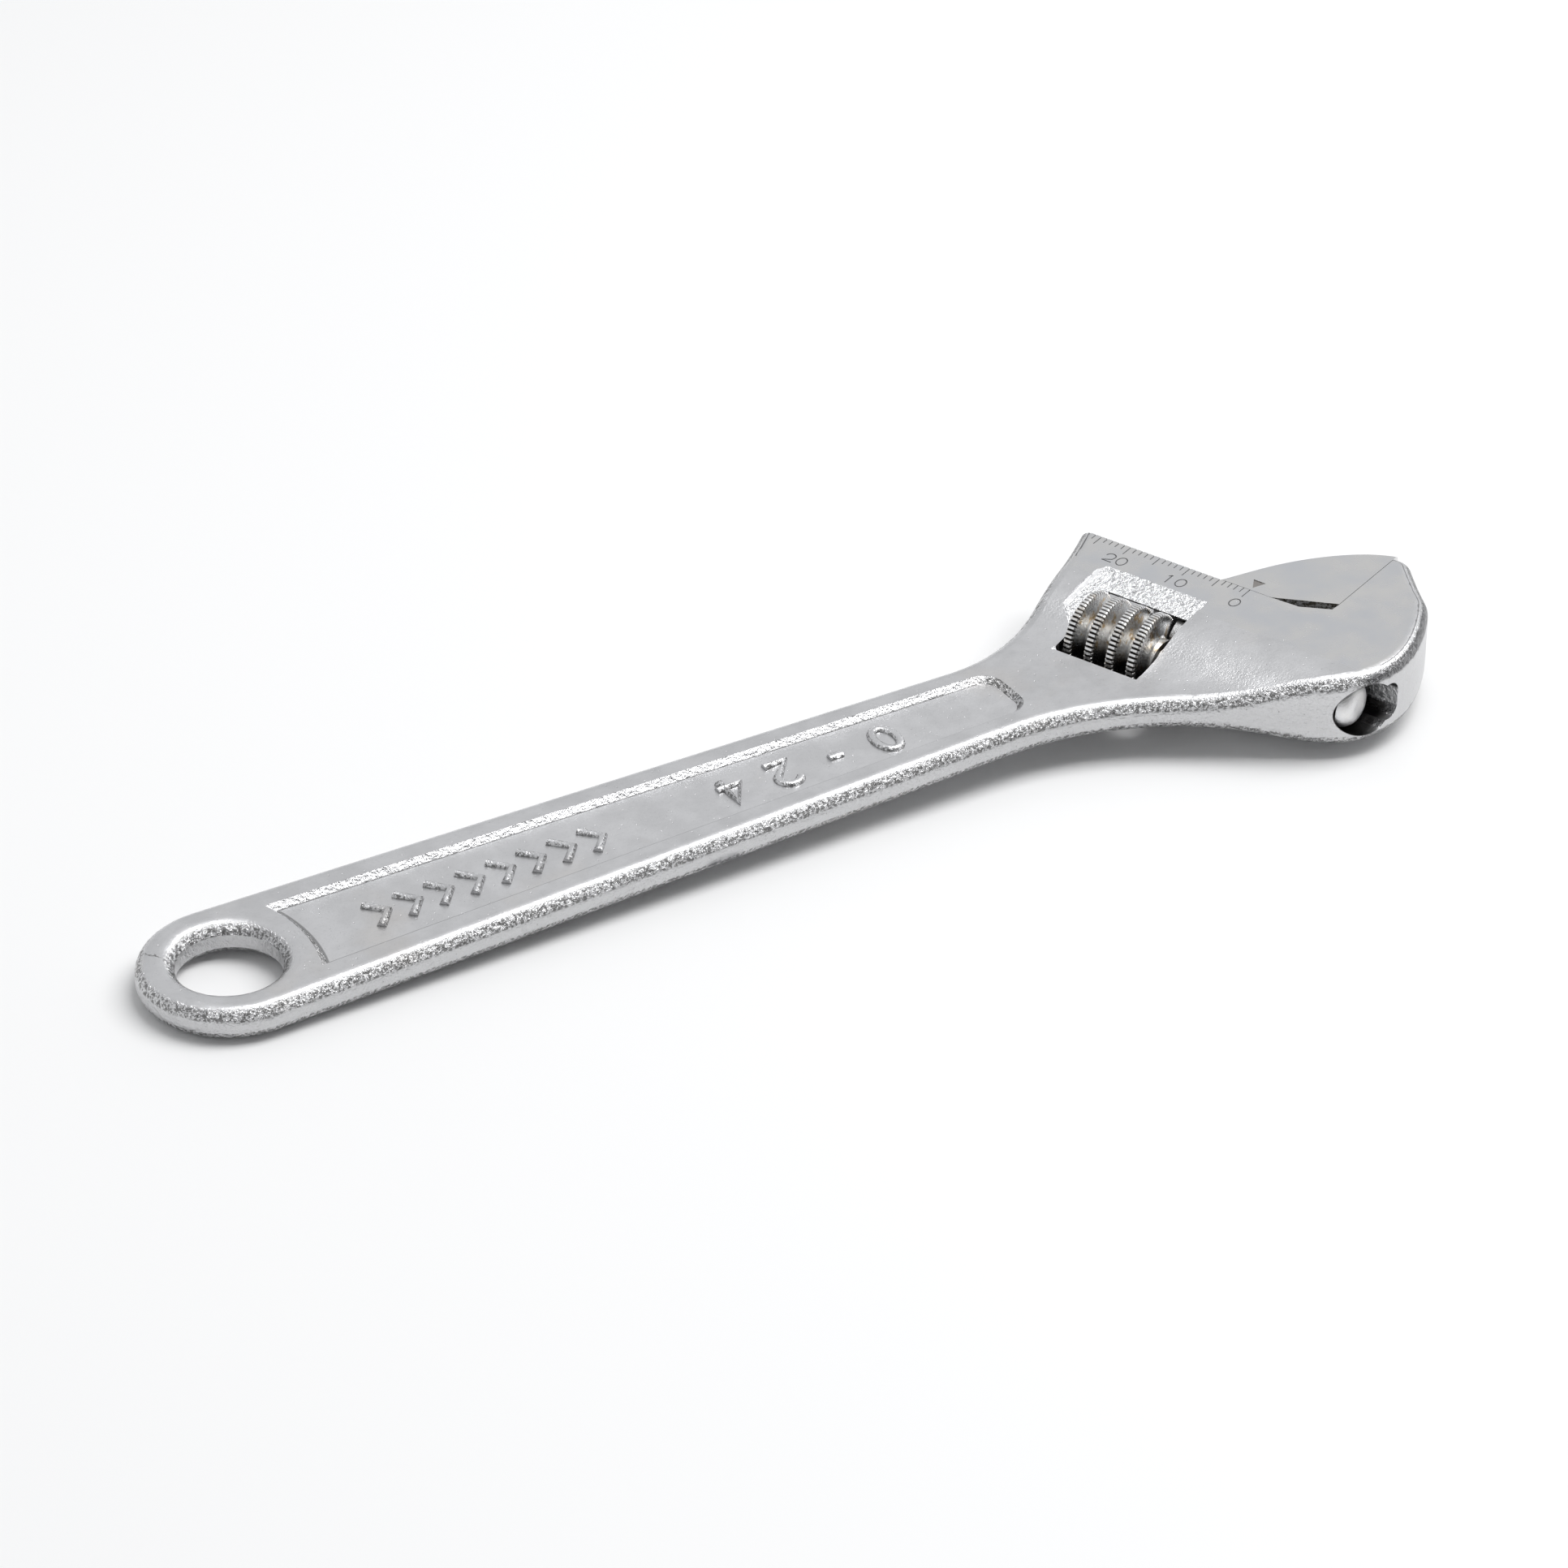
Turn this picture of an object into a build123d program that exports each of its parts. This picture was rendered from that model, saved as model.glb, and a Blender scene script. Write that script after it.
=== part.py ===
"""Adjustable wrench, 200 mm size: forged body, sliding jaw, adjusting worm, its pin and its spring.

Frame: millimetres, origin at the centre of the hang hole, halfway through the thickness.
+X runs along the handle to the head, +Y to the side that the jaw opens towards, +Z out of the
face that carries the opening scale.

The head has its own frame, turned by HEAD_ANGLE: "reach" runs along the jaw faces out to the
jaw tips, "opening" is the way the sliding jaw travels. Its origin is the scale's zero mark on
the floor that the sliding jaw rides on.
"""
from build123d import *
import math
import os

# --- handle ---------------------------------------------------------------------------------
HANDLE_HALF_THICKNESS = 2.46
HANDLE_END_RADIUS = 12.8
HANDLE_END_X = 0.5
HANDLE_TAPER = 0.031            # half width lost per mm of length
HANDLE_EDGE_FILLET = 2.1
HANG_HOLE_RADIUS = 7.15
HANG_HOLE_FLARE_REACH = 2.3     # how far each mouth flares outward from the bore
HANG_HOLE_FLARE_DEPTH = 1.5
NECK_VERTEX_X = 130.5           # where the straight handle edge would meet the straight flare
NECK_RADIUS = 45.0
FLARE_SLOPE = 0.66              # sideways per mm of length, on the fixed jaw's side

# --- recessed panel on both faces of the handle -----------------------------------------------
PANEL_START_X = 10.9
PANEL_END_X = 122.5
PANEL_START_HALF_WIDTH = 8.0
PANEL_END_HALF_WIDTH = 5.3
PANEL_START_BULGE = 1.4         # how far the end beside the hang hole curves round it
PANEL_CORNER_RADIUS = 3.2
PANEL_DEPTH = 0.8
PANEL_WALL_ANGLE = 48.0         # degrees from upright

# --- head -----------------------------------------------------------------------------------
HEAD_ANGLE = 22.5
HEAD_X = 162.75
HEAD_Y = -0.56
HEAD_HALF_THICKNESS = 5.7
RAMP_TOP_REACH = -9.5           # the ground face ends here and slopes down to the handle
RAMP_FOOT_REACH = -25.5
SHOULDER_OPENING = 28.7         # end of the floor that the sliding jaw rides on
JAW_LENGTH = 20.4               # from the floor to the jaw tips
FACE_OPENING = -12.35           # fixed jaw's face, seen from the scale's zero
CORNER_RELIEF = 2.3
HEEL = (-15.3, -19.9)           # reach and opening where the flare meets the head's round side
HEAD_SIDE = ((-9.9, -25.3), (0, -26.8), (11.6, -22.5))
HEAD_SIDE_END = (0.74, 0.67)    # direction of that side as it reaches the jaw tip
TIP_SIDE = (19.3, -15.3)
TIP_ROUND = (20.3, -13.9)
RELIEF_END = (0.2, -8.0)
FACE_FOOT_REACH = 4.0
FACE_FOOT_STEP = 0.15
FAR_NECK_X = 117.0
SHOULDER_BACK = ((144.9, 20.6), (135.5, 14.9), (127.3, 10.9))
SHOULDER_BACK_START = (-0.95, -0.30)
PIN_WALL_OPENING = 24.6         # shoulder's back wall, where the pin goes in

# --- keyhole channel for the sliding jaw's rail --------------------------------------------------
RAIL_REACH = -9.4
BORE_RADIUS = 4.1
SLOT_HALF_WIDTH = 2.5
SLOT_BLIND_REACH = -4.0         # the slot stops short of the floor under the fixed jaw
SLOT_BLIND_HALF_WIDTH = 2.9
SLOT_BLIND_RADIUS = 1.9
SLOT_OPEN_START = -7.5          # opening from which the slot reaches the floor

# --- window for the worm --------------------------------------------------------------------
WINDOW_NEAR_OPENING = 3.0
WINDOW_FAR_OPENING = 17.0
WINDOW_HANDLE_REACH = -25.0
WINDOW_HEAD_REACH = -11.3
WINDOW_CORNER_RADIUS = 1.2
BEVEL_HEAD_WIDTH = 4.3
BEVEL_FAR_WIDTH = 2.8
BEVEL_DEPTH = 1.2

# --- worm, pin and spring ---------------------------------------------------------------------
PITCH = 3.5                     # worm lead, and pitch of the rack
WORM_REACH = -16.4
WORM_RADIUS = 7.0
WORM_ROOT_RADIUS = 3.7
WORM_CLEARANCE = 0.45
WORM_START_OPENING = 4.0
WORM_END_OPENING = 16.8
WORM_BORE_RADIUS = 1.85
WORM_POCKET_RADIUS = 3.1
WORM_POCKET_DEPTH = 4.1
CREST_WIDTH = 1.3
FLANK_SLOPE = 0.105             # thread half thickness gained per mm of depth
CREST_OPENING = 6.98            # crest of the thread, where it faces the rack
PIN_RADIUS = 1.8
PIN_HEAD_RADIUS = 2.7
PIN_HEAD_LENGTH = 2.2
PIN_HEAD_SINK = 1.0
PIN_SOCKET_DEPTH = 7.0
PIN_SLOT_WIDTH = 0.8
PIN_SLOT_DEPTH = 1.0
SPRING_WIRE_RADIUS = 0.25
SPRING_COIL_RADIUS = 2.5
SPRING_TURNS = 4.5

# --- sliding jaw -----------------------------------------------------------------------------
JAW_GAP = 0.08                  # between the jaw faces when the wrench is shut
FLOOR_GAP = 0.06
JAW_BASE_FRONT = -3.5
JAW_BASE_BACK = 5.3
JAW_RELIEF_REACH = 4.1
JAW_BACK = ((15.9, -5.2), (8.6, 0.7))
JAW_BACK_START = (-0.32, 0.95)
JAW_BACK_END = (-0.88, 0.47)
JAW_EDGE_FILLET = 0.7
POINTER = ((0.7, 0), (2.75, -0.95), (2.75, 1.05))
WEB_HALF_THICKNESS = 2.25
RAIL_RADIUS = 3.75
RAIL_FRONT = -24.0
RAIL_BACK = 10.3
RAIL_DOME = 2.5
RACK_TIP_REACH = -12.4
RACK_ROOT_CLEARANCE = 0.3
RACK_SIDE_CLEARANCE = 0.22
RACK_LEAN = 0.1                 # slant of the rack's grooves, which follows the thread

# --- opening scale ----------------------------------------------------------------------------
SCALE_LENGTH = 28
MARK_DEPTH = 0.12
MARK_WIDTH = 0.16
LONG_MARK = 2.3
SHORT_MARK = 1.3
DIGIT_HEIGHT = 2.3
DIGIT_STROKE = 0.2

BIG = 60.0
HEAD_FRAME = Location((HEAD_X, HEAD_Y, 0), (0, 0, HEAD_ANGLE))


def head_point(reach, opening):
    """Plan position in the wrench's frame of a point given in the head's frame."""
    angle = math.radians(HEAD_ANGLE)
    x = HEAD_X + reach * math.cos(angle) - opening * math.sin(angle)
    y = HEAD_Y + reach * math.sin(angle) + opening * math.cos(angle)
    return (x, y)


def head_direction(reach, opening):
    """Plan direction in the wrench's frame of a direction given in the head's frame."""
    angle = math.radians(HEAD_ANGLE)
    x = reach * math.cos(angle) - opening * math.sin(angle)
    y = reach * math.sin(angle) + opening * math.cos(angle)
    return (x, y)


def handle_half_width(x):
    return HANDLE_END_RADIUS - HANDLE_TAPER * x


def body_outline():
    """Plan outline of the forging, with the handle, the neck, the fixed jaw and the shoulder."""
    taper = math.atan(HANDLE_TAPER)
    flare = math.atan(FLARE_SLOPE)
    end_x = HANDLE_END_X + HANDLE_END_RADIUS * math.sin(taper)
    end_y = HANDLE_END_RADIUS * math.cos(taper)
    neck_y = -handle_half_width(NECK_VERTEX_X)
    reach_along = NECK_RADIUS * math.tan((taper + flare) / 2)
    neck_start = (NECK_VERTEX_X - reach_along * math.cos(taper), neck_y - reach_along * math.sin(taper))
    neck_end = (NECK_VERTEX_X + reach_along * math.cos(flare), neck_y - reach_along * math.sin(flare))
    heel = head_point(*HEEL)
    far_neck = (FAR_NECK_X, handle_half_width(FAR_NECK_X))
    face_foot = head_point(FACE_FOOT_REACH, FACE_OPENING)
    relief_corner = head_point(CORNER_RELIEF, FACE_OPENING + FACE_FOOT_STEP)
    relief_end = head_point(*RELIEF_END)
    face_tip = head_point(JAW_LENGTH, FACE_OPENING)
    tip_side = head_point(*TIP_SIDE)
    shoulder = head_point(0, SHOULDER_OPENING)
    edges = [
        ThreePointArc((end_x, end_y), (HANDLE_END_X - HANDLE_END_RADIUS, 0), (end_x, -end_y)),
        Line((end_x, -end_y), neck_start),
        TangentArc(neck_start, neck_end, tangent=(math.cos(taper), math.sin(taper))),
        Line(neck_end, heel),
        Spline(
            heel,
            *[head_point(*point) for point in HEAD_SIDE],
            tip_side,
            tangents=[(math.cos(flare), -math.sin(flare)), head_direction(*HEAD_SIDE_END)],
        ),
        ThreePointArc(tip_side, head_point(*TIP_ROUND), face_tip),
        Line(face_tip, face_foot),
        Line(face_foot, relief_corner),
        Line(relief_corner, relief_end),
        Line(relief_end, head_point(0, JAW_BASE_FRONT)),
        Line(head_point(0, JAW_BASE_FRONT), shoulder),
        Spline(
            shoulder,
            *SHOULDER_BACK,
            far_neck,
            tangents=[head_direction(*SHOULDER_BACK_START), (-math.cos(taper), math.sin(taper))],
        ),
        Line(far_neck, (end_x, end_y)),
    ]
    return make_face(edges)


def thickness_profile():
    """Side view of the forging, in reach and height: thick head, smooth ramp, thin handle."""
    top = HEAD_HALF_THICKNESS
    low = HANDLE_HALF_THICKNESS
    middle = ((RAMP_TOP_REACH + RAMP_FOOT_REACH) / 2, (top + low) / 2)
    upper = TangentArc((RAMP_TOP_REACH, top), middle, tangent=(-1, 0))
    lower = TangentArc((RAMP_FOOT_REACH, low), middle, tangent=(1, 0))
    half = [
        Line((BIG, 0), (BIG, top)),
        Line((BIG, top), (RAMP_TOP_REACH, top)),
        upper,
        lower,
        Line((RAMP_FOOT_REACH, low), (-4 * BIG, low)),
        Line((-4 * BIG, low), (-4 * BIG, 0)),
        Line((-4 * BIG, 0), (BIG, 0)),
    ]
    upper_half = make_face(half)
    side = Plane(origin=(0, 2 * BIG, 0), x_dir=(1, 0, 0), z_dir=(0, -1, 0))
    solid = extrude(side * upper_half, 4 * BIG)
    return HEAD_FRAME * (solid + mirror(solid, Plane.XY))


def head_position(point):
    """Reach, opening and height of a point given in the wrench's frame."""
    return (HEAD_FRAME.inverse() * Location(point)).position


def is_machined(face):
    """The floor, the jaw's face and the tip, which stay sharp, against the forged outer walls."""
    reach, opening, _ = head_position(face.center())
    on_jaw_side = reach > -0.6 and opening > FACE_OPENING - 0.5
    at_tip = reach > 19
    return on_jaw_side or at_tip


def forged_blank():
    """The forging before machining, with its rounded edges."""
    plate = extrude(body_outline(), HEAD_HALF_THICKNESS + 1, both=True)
    blank = plate & thickness_profile()
    rims = []
    for face in blank.faces():
        if abs(face.normal_at().Z) > 0.01 or is_machined(face):
            continue
        for edge in face.edges():
            size = edge.bounding_box().size
            if size.X + size.Y > 0.3:
                rims.append(edge)
    return blank.fillet(HANDLE_EDGE_FILLET, rims)


def panel_pocket():
    """Shallow recess in the upper face of the handle, with sloped walls."""
    start = PANEL_START_X - PANEL_START_BULGE
    corner = PANEL_CORNER_RADIUS
    end_half = PANEL_END_HALF_WIDTH
    start_half = PANEL_START_HALF_WIDTH
    edges = [
        ThreePointArc((start, -start_half), (PANEL_START_X, 0), (start, start_half)),
        Line((start, start_half), (PANEL_END_X - corner, end_half)),
        ThreePointArc(
            (PANEL_END_X - corner, end_half),
            (PANEL_END_X - corner * 0.25, end_half - corner * 0.35),
            (PANEL_END_X, end_half - corner),
        ),
        Line((PANEL_END_X, end_half - corner), (PANEL_END_X, corner - end_half)),
        ThreePointArc(
            (PANEL_END_X, corner - end_half),
            (PANEL_END_X - corner * 0.25, corner * 0.35 - end_half),
            (PANEL_END_X - corner, -end_half),
        ),
        Line((PANEL_END_X - corner, -end_half), (start, -start_half)),
    ]
    surface = Plane.XY.offset(HANDLE_HALF_THICKNESS) * make_face(edges)
    return extrude(surface, PANEL_DEPTH, dir=(0, 0, -1), taper=PANEL_WALL_ANGLE)


def hang_hole():
    """Hang hole with flared mouths, as the solid to take away."""
    half = HANDLE_HALF_THICKNESS
    wide = HANG_HOLE_RADIUS + HANG_HOLE_FLARE_REACH
    low = half - HANG_HOLE_FLARE_DEPTH
    curve = math.hypot(HANG_HOLE_FLARE_REACH, HANG_HOLE_FLARE_DEPTH) ** 2 / HANG_HOLE_FLARE_DEPTH / 2
    swing = math.asin(HANG_HOLE_FLARE_REACH / curve) / 2
    mid_radius = wide - curve * math.sin(swing)
    mid_height = half - curve * (1 - math.cos(swing))
    edges = [
        Line((0, -half), (wide, -half)),
        ThreePointArc((wide, -half), (mid_radius, -mid_height), (HANG_HOLE_RADIUS, -low)),
        Line((HANG_HOLE_RADIUS, -low), (HANG_HOLE_RADIUS, low)),
        ThreePointArc((HANG_HOLE_RADIUS, low), (mid_radius, mid_height), (wide, half)),
        Line((wide, half), (0, half)),
        Line((0, half), (0, -half)),
    ]
    return revolve(Plane.XZ * make_face(edges), Axis.Z)


def opening_cylinder(radius, reach, low, high):
    """Round bar along the opening direction, in the head's frame."""
    bar = Cylinder(radius, high - low, align=(Align.CENTER, Align.CENTER, Align.MIN))
    return Location((reach, low, 0), (-90, 0, 0)) * bar


def head_box(reach, opening, height):
    """Box in the head's frame from pairs of lowest and highest values."""
    size = [pair[1] - pair[0] for pair in (reach, opening, height)]
    middle = [(pair[1] + pair[0]) / 2 for pair in (reach, opening, height)]
    return Location(middle) * Box(*size)


def keyhole():
    """Round channel for the rail, and the slot that joins it to the floor."""
    bore = opening_cylinder(BORE_RADIUS, RAIL_REACH, -BIG, BIG)
    blind_half = SLOT_BLIND_HALF_WIDTH
    blind_slot = head_box((RAIL_REACH, SLOT_BLIND_REACH), (-BIG, 0), (-blind_half, blind_half))
    blind_end = blind_slot.edges().filter_by(Axis.Y).group_by(Axis.X)[-1]
    blind_slot = blind_slot.fillet(SLOT_BLIND_RADIUS, blind_end)
    half = SLOT_HALF_WIDTH
    open_slot = head_box((RAIL_REACH, CORNER_RELIEF), (SLOT_OPEN_START, BIG), (-half, half))
    return bore + blind_slot + open_slot


def window_bevel():
    """Shallow sloped pocket round the window, on the upper face."""
    top = HEAD_HALF_THICKNESS
    head_edge = WINDOW_HEAD_REACH + 0.7
    pocket = head_box(
        (WINDOW_HANDLE_REACH, head_edge + BEVEL_HEAD_WIDTH),
        (WINDOW_NEAR_OPENING, WINDOW_FAR_OPENING + BEVEL_FAR_WIDTH + 1),
        (0, top + 2),
    )
    head_slope = Plane(
        origin=(head_edge, 0, top - BEVEL_DEPTH),
        z_dir=(-BEVEL_DEPTH, 0, BEVEL_HEAD_WIDTH),
    )
    outer = Vector(head_edge + BEVEL_HEAD_WIDTH, WINDOW_FAR_OPENING + BEVEL_FAR_WIDTH, top)
    inner = Vector(head_edge, WINDOW_FAR_OPENING, top - BEVEL_DEPTH)
    foot = Vector(WINDOW_HANDLE_REACH, WINDOW_FAR_OPENING, HANDLE_HALF_THICKNESS)
    normal = (foot - inner).cross(outer - inner)
    far_slope = Plane(origin=inner, z_dir=normal if normal.Z > 0 else -normal)
    pocket = split(pocket, head_slope, keep=Keep.TOP)
    return split(pocket, far_slope, keep=Keep.TOP)


def window():
    """Opening right through the head for the worm."""
    reach = (WINDOW_HANDLE_REACH, WINDOW_HEAD_REACH)
    opening = (WINDOW_NEAR_OPENING, WINDOW_FAR_OPENING)
    shaft = head_box(reach, opening, (-BIG, BIG))
    shaft = shaft.fillet(WINDOW_CORNER_RADIUS, shaft.edges().filter_by(Axis.Z).group_by(Axis.X)[0])
    room = opening_cylinder(WORM_RADIUS + WORM_CLEARANCE, WORM_REACH, *opening)
    bevel = window_bevel()
    return shaft + room + bevel + mirror(bevel, Plane.XY)


def pin_hole():
    """Hole for the worm's pin, open at the shoulder, blind under the fixed jaw."""
    radius = PIN_RADIUS + 0.05
    shaft = opening_cylinder(radius, WORM_REACH, WINDOW_NEAR_OPENING - PIN_SOCKET_DEPTH, BIG)
    seat = opening_cylinder(PIN_HEAD_RADIUS + 0.1, WORM_REACH, pin_head_opening(), BIG)
    return shaft + seat


def pin_head_opening():
    """Opening of the pin head's underside."""
    return PIN_WALL_OPENING - PIN_HEAD_SINK - PIN_HEAD_LENGTH


def digit(name):
    """Outline strokes of a scale digit, upright along +Y and centred on the origin."""
    tall = DIGIT_HEIGHT / 2
    wide = DIGIT_HEIGHT * 0.36
    if name == "0":
        outer = Ellipse(wide, tall)
        return outer - Ellipse(wide - DIGIT_STROKE, tall - DIGIT_STROKE)
    if name == "1":
        stem = Rectangle(DIGIT_STROKE, 2 * tall)
        flag = Location((-DIGIT_STROKE, tall * 0.72), 45) * Rectangle(3 * DIGIT_STROKE, DIGIT_STROKE)
        return stem + flag
    radius = wide - DIGIT_STROKE / 2
    cap = Location((0, tall - wide)) * (Circle(wide) - Circle(wide - DIGIT_STROKE))
    cap -= Location((0, tall - 2 * wide)) * Rectangle(2 * wide, 2 * wide)
    foot_y = DIGIT_STROKE / 2 - tall
    stroke = Polyline((radius, tall - wide), (radius * 0.8, tall - 1.7 * wide), (-radius, foot_y))
    base = Polyline((-radius, foot_y), (wide, foot_y))
    return cap + trace(stroke, DIGIT_STROKE) + trace(base, DIGIT_STROKE)


def scale_marks():
    """Engraved millimetre marks and their numbers, as the solids to take away."""
    marks = []
    for value in range(SCALE_LENGTH + 1):
        length = LONG_MARK if value % 5 == 0 else SHORT_MARK
        half = MARK_WIDTH / 2
        height = (HEAD_HALF_THICKNESS - MARK_DEPTH, HEAD_HALF_THICKNESS + 1)
        marks.append(head_box((-length, 1), (value - half, value + half), height))
    surface = Plane(origin=(0, 0, HEAD_HALF_THICKNESS - MARK_DEPTH), x_dir=(0, -1, 0), z_dir=(0, 0, 1))
    row = -LONG_MARK - 0.7 - DIGIT_HEIGHT / 2
    spacing = DIGIT_HEIGHT * 0.87
    for value in (0, 10, 20):
        text = str(value)
        for place, name in enumerate(text):
            along = -value + (place - (len(text) - 1) / 2) * spacing
            shape = Location((along, row)) * digit(name)
            marks.append(extrude(surface * shape, 1, dir=(0, 0, 1)))
    return marks


def make_body():
    body = forged_blank()
    panel = panel_pocket()
    body = body - panel - mirror(panel, Plane.XY) - hang_hole()
    body = body - HEAD_FRAME * keyhole() - HEAD_FRAME * window() - HEAD_FRAME * pin_hole()
    for mark in scale_marks():
        body -= HEAD_FRAME * mark
    return body


def jaw_outline():
    """Plan outline of the sliding jaw above the floor, in the head's frame."""
    face = FACE_OPENING + JAW_GAP
    base = FLOOR_GAP
    edges = [
        Line((base, JAW_BASE_BACK), (base, JAW_BASE_FRONT)),
        Line((base, JAW_BASE_FRONT), (JAW_RELIEF_REACH, face)),
        Line((JAW_RELIEF_REACH, face), (JAW_LENGTH, face)),
        Spline(
            (JAW_LENGTH, face),
            *JAW_BACK,
            (base, JAW_BASE_BACK),
            tangents=[JAW_BACK_START, JAW_BACK_END],
        ),
    ]
    return make_face(edges)


def rack_root_reach():
    return WORM_REACH + WORM_RADIUS + RACK_ROOT_CLEARANCE


def rack_grooves():
    """Grooves that the worm's thread runs in, slanted as the thread is."""
    root = rack_root_reach()
    mouth = RACK_TIP_REACH - 3
    narrow = CREST_WIDTH / 2 + RACK_SIDE_CLEARANCE
    wide = narrow + (root - mouth) * FLANK_SLOPE
    profile = make_face(Polyline((root, -narrow), (root, narrow), (mouth, wide), (mouth, -wide), close=True))
    groove = extrude(profile, 2 * RAIL_RADIUS, both=True)
    lean = math.degrees(math.atan(RACK_LEAN))
    grooves = []
    opening = CREST_OPENING + PITCH
    while opening > RAIL_FRONT + 1:
        grooves.append(Location((0, opening, 0), (lean, 0, 0)) * groove)
        opening -= PITCH
    return grooves


def make_rail():
    """Round rail with a domed front end and the rack along the worm's side."""
    rail = opening_cylinder(RAIL_RADIUS, RAIL_REACH, RAIL_FRONT, RAIL_BACK)
    ends = rail.edges().filter_by(GeomType.CIRCLE).sort_by(Axis.Y)
    rail = rail.fillet(RAIL_DOME, [ends[0]])
    rail -= head_box((RACK_TIP_REACH - 5, RACK_TIP_REACH), (RAIL_FRONT + 2.5, BIG), (-BIG, BIG))
    for groove in rack_grooves():
        rail -= groove
    return rail


def make_sliding_jaw():
    jaw = extrude(jaw_outline(), HEAD_HALF_THICKNESS, both=True)
    back = [face for face in jaw.faces() if face.geom_type != GeomType.PLANE]
    rims = [edge for face in back for edge in face.edges() if edge.geom_type != GeomType.LINE]
    jaw = jaw.fillet(JAW_EDGE_FILLET, rims)
    half = WEB_HALF_THICKNESS
    web = head_box((rack_root_reach(), 1), (JAW_BASE_FRONT + 0.2, JAW_BASE_BACK - 0.3), (-half, half))
    pointer = make_face(Polyline(*POINTER, close=True))
    pointer = Location((0, 0, HEAD_HALF_THICKNESS - MARK_DEPTH)) * extrude(pointer, 1)
    return HEAD_FRAME * (jaw + web + make_rail() - pointer)


def make_thread():
    """One helical ridge about the worm's axis, longer than the worm at both ends."""
    start = CREST_OPENING - 2 * PITCH
    turns = 6
    root = WORM_ROOT_RADIUS - 0.3
    crest_half = CREST_WIDTH / 2
    root_half = crest_half + (WORM_RADIUS - root) * FLANK_SLOPE
    path = Helix(PITCH, PITCH * turns, WORM_RADIUS)
    profile = make_face(
        Polyline(
            (root, -root_half),
            (WORM_RADIUS, -crest_half),
            (WORM_RADIUS, crest_half),
            (root, root_half),
            close=True,
        )
    )
    thread = sweep(Plane.XZ * profile, path=path, is_frenet=True)
    return Location((WORM_REACH, start, 0), (-90, 0, 0)) * thread


def make_adjusting_worm():
    low = WORM_START_OPENING
    high = WORM_END_OPENING
    worm = opening_cylinder(WORM_ROOT_RADIUS, WORM_REACH, low, high)
    worm += make_thread() & opening_cylinder(WORM_RADIUS + 1, WORM_REACH, low, high)
    worm -= opening_cylinder(WORM_BORE_RADIUS, WORM_REACH, low - 1, high + 1)
    worm -= opening_cylinder(WORM_POCKET_RADIUS, WORM_REACH, low - 1, low + WORM_POCKET_DEPTH)
    return HEAD_FRAME * worm


def make_worm_pin():
    """Slotted-head pin that the worm turns on."""
    tip = WINDOW_NEAR_OPENING - PIN_SOCKET_DEPTH + 0.3
    seat = pin_head_opening()
    top = seat + PIN_HEAD_LENGTH
    pin = opening_cylinder(PIN_RADIUS, WORM_REACH, tip, top)
    pin += opening_cylinder(PIN_HEAD_RADIUS, WORM_REACH, seat, top)
    half = PIN_SLOT_WIDTH / 2
    pin -= head_box((-BIG, BIG), (top - PIN_SLOT_DEPTH, top + 1), (-half, half))
    return HEAD_FRAME * pin


def make_worm_spring():
    """Coil spring round the pin, in the worm's pocket, which takes up the worm's end play."""
    low = WINDOW_NEAR_OPENING + SPRING_WIRE_RADIUS + 0.05
    high = WORM_START_OPENING + WORM_POCKET_DEPTH - SPRING_WIRE_RADIUS - 0.05
    path = Helix((high - low) / SPRING_TURNS, high - low, SPRING_COIL_RADIUS)
    start = Plane(origin=path @ 0, z_dir=path % 0)
    spring = sweep(start * Circle(SPRING_WIRE_RADIUS), path=path, is_frenet=True)
    return HEAD_FRAME * Location((WORM_REACH, low, 0), (-90, 0, 0)) * spring


def main():
    os.makedirs("parts", exist_ok=True)
    makers = {
        "body": make_body,
        "sliding_jaw": make_sliding_jaw,
        "adjusting_worm": make_adjusting_worm,
        "worm_pin": make_worm_pin,
        "worm_spring": make_worm_spring,
    }
    for node, make in makers.items():
        export_step(make(), f"parts/{node}.step")


if __name__ == "__main__":
    main()
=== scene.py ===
import math

import bmesh
import bpy
from bpy.props import FloatProperty, FloatVectorProperty, IntProperty
from bpy.props import PointerProperty, StringProperty
from mathutils import Matrix, Vector


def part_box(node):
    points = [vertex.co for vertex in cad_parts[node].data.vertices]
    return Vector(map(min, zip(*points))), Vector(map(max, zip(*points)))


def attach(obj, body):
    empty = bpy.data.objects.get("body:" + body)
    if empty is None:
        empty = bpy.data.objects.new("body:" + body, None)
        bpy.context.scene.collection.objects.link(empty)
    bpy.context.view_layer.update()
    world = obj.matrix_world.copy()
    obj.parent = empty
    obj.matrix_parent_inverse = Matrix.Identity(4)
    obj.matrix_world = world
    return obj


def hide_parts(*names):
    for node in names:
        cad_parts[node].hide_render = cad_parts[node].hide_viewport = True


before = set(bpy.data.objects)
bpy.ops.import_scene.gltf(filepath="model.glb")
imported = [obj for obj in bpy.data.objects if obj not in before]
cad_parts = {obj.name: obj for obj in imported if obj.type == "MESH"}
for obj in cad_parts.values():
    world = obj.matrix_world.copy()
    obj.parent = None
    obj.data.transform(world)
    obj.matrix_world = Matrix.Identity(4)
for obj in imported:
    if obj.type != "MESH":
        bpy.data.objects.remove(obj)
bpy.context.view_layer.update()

bl_info = {
    "name": "Adjustable Wrench Finish",
    "version": (1, 0, 0),
    "blender": (4, 5, 0),
    "location": "3D View > Sidebar > Wrench",
    "description": "Plated finish, knurled worm, raised marks and studio for an adjustable wrench",
    "category": "Object",
}

MM = 0.001

# Outputs of a Texture Coordinate node.
NORMAL_OUTPUT = 1
OBJECT_OUTPUT = 3

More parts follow.
